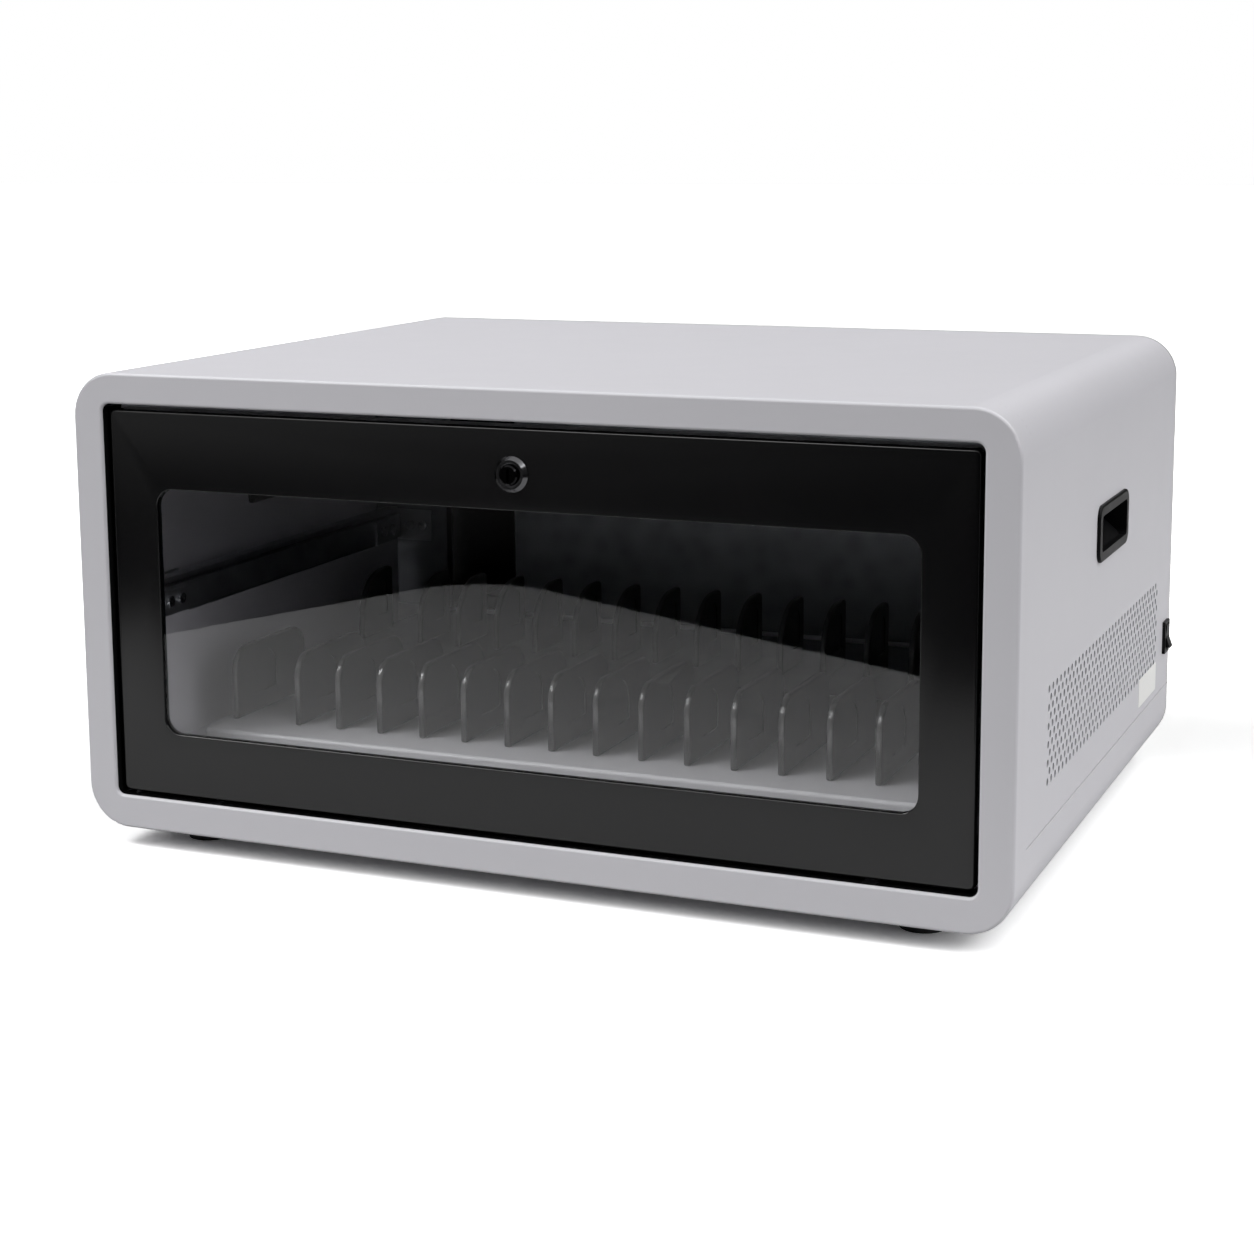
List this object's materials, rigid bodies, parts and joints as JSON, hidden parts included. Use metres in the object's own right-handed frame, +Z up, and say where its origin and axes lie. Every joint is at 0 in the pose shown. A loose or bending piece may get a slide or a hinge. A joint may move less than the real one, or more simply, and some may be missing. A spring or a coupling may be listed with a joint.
{
  "type": "charging cabinet",
  "caption": "Lockable desk-top charging cabinet with a windowed drop-down front, a pull-out tray of upright device slots, side grips, side vents and a power switch.",
  "frame": {"origin": "under the middle of the body, on the surface that the feet stand on", "axes": "+X to the right as seen from the front, +Y to the back, +Z up"},
  "size_m": [0.5667, 0.4287, 0.2835],
  "materials": {
    "shell_paint": "satin light grey powder coat",
    "door_paint": "satin black powder coat",
    "smoked_acrylic": "lightly smoked, polished",
    "dark_sheet": "zinc plated and dark passivated",
    "zinc_sheet": "zinc plated",
    "plated_steel": "bright zinc",
    "divider_plastic": "smooth black moulding",
    "tray_plastic": "fine light grey moulding",
    "black_plastic": "satin moulding",
    "lock_black": "gloss black",
    "foot_rubber": "matt",
    "contact_brass": "polished",
    "board_laminate": "solder mask",
    "supply_case": "grey painted case",
    "socket_shell": "tin plated"
  },
  "bodies": {
    "cabinet": {"front_frame": "shell_paint", "opening_liner": "door_paint", "top_cover": "shell_paint", "base_pan": "shell_paint", "rear_panel": "door_paint", "vent_panels": "shell_paint", "handle_cup_left": "black_plastic", "handle_cup_right": "black_plastic", "bulkhead": "dark_sheet", "rail_brackets": "zinc_sheet", "slide_outer_left": "zinc_sheet", "slide_outer_right": "zinc_sheet", "rail_screws": "plated_steel", "bracket_screws": "plated_steel", "rear_screws": "plated_steel", "feet": "foot_rubber", "power_inlet": "black_plastic", "inlet_pins": "contact_brass", "switch_body": "black_plastic", "power_supply": "supply_case", "charger_board": "board_laminate", "usb_sockets": "socket_shell", "wiring": "foot_rubber"},
    "rocker": {"switch_rocker": "black_plastic"},
    "drawer": {"drawer_pan": "shell_paint", "insert_base": "tray_plastic", "rear_riser": "divider_plastic", "hinge_brackets": "zinc_sheet", "slide_inner_left": "zinc_sheet", "slide_inner_right": "zinc_sheet", "drawer_screws": "plated_steel", "divider_01": "divider_plastic", "divider_02": "divider_plastic", "divider_03": "divider_plastic", "divider_04": "divider_plastic", "divider_05": "divider_plastic", "divider_06": "divider_plastic", "divider_07": "divider_plastic", "divider_08": "divider_plastic", "divider_09": "divider_plastic", "divider_10": "divider_plastic", "divider_11": "divider_plastic", "divider_12": "divider_plastic", "divider_13": "divider_plastic", "divider_14": "divider_plastic", "divider_15": "divider_plastic", "divider_16": "divider_plastic"},
    "slide_cages": {"slide_cage_left": "plated_steel", "slide_cage_right": "plated_steel"},
    "door": {"door_panel": "door_paint", "window_pane": "smoked_acrylic", "pane_retainer": "door_paint", "retainer_nuts": "plated_steel", "hinge_blocks": "zinc_sheet", "hinge_pins": "plated_steel", "lock_body": "lock_black", "lock_nut": "plated_steel"},
    "lock": {"lock_plug": "lock_black", "lock_cam": "zinc_sheet", "cam_screw": "plated_steel"}
  },
  "joints": [
    {"name": "drawer_slide", "type": "slide", "parent": "cabinet", "child": "drawer", "axis": [0, -1, 0], "range_m": [0, 0.215]},
    {"name": "cage_slide", "type": "slide", "parent": "cabinet", "child": "slide_cages", "axis": [0, -1, 0], "range_m": [0, 0.1075]},
    {"name": "door_hinge", "type": "hinge", "parent": "drawer", "child": "door", "pos_m": [0, -0.203, 0.03925], "axis": [1, 0, 0], "range_deg": [0, 90]},
    {"name": "lock_turn", "type": "hinge", "parent": "door", "child": "lock", "pos_m": [0, -0.2085, 0.2365], "axis": [0, -1, 0], "range_deg": [0, 90]},
    {"name": "rocker_tip", "type": "hinge", "parent": "cabinet", "child": "rocker", "pos_m": [0.2785, 0.197, 0.08775], "axis": [0, 1, 0], "range_deg": [0, 16]}
  ],
  "couplings": [
    {"joint": "cage_slide", "follows": "drawer_slide", "ratio": 0.5}
  ]
}
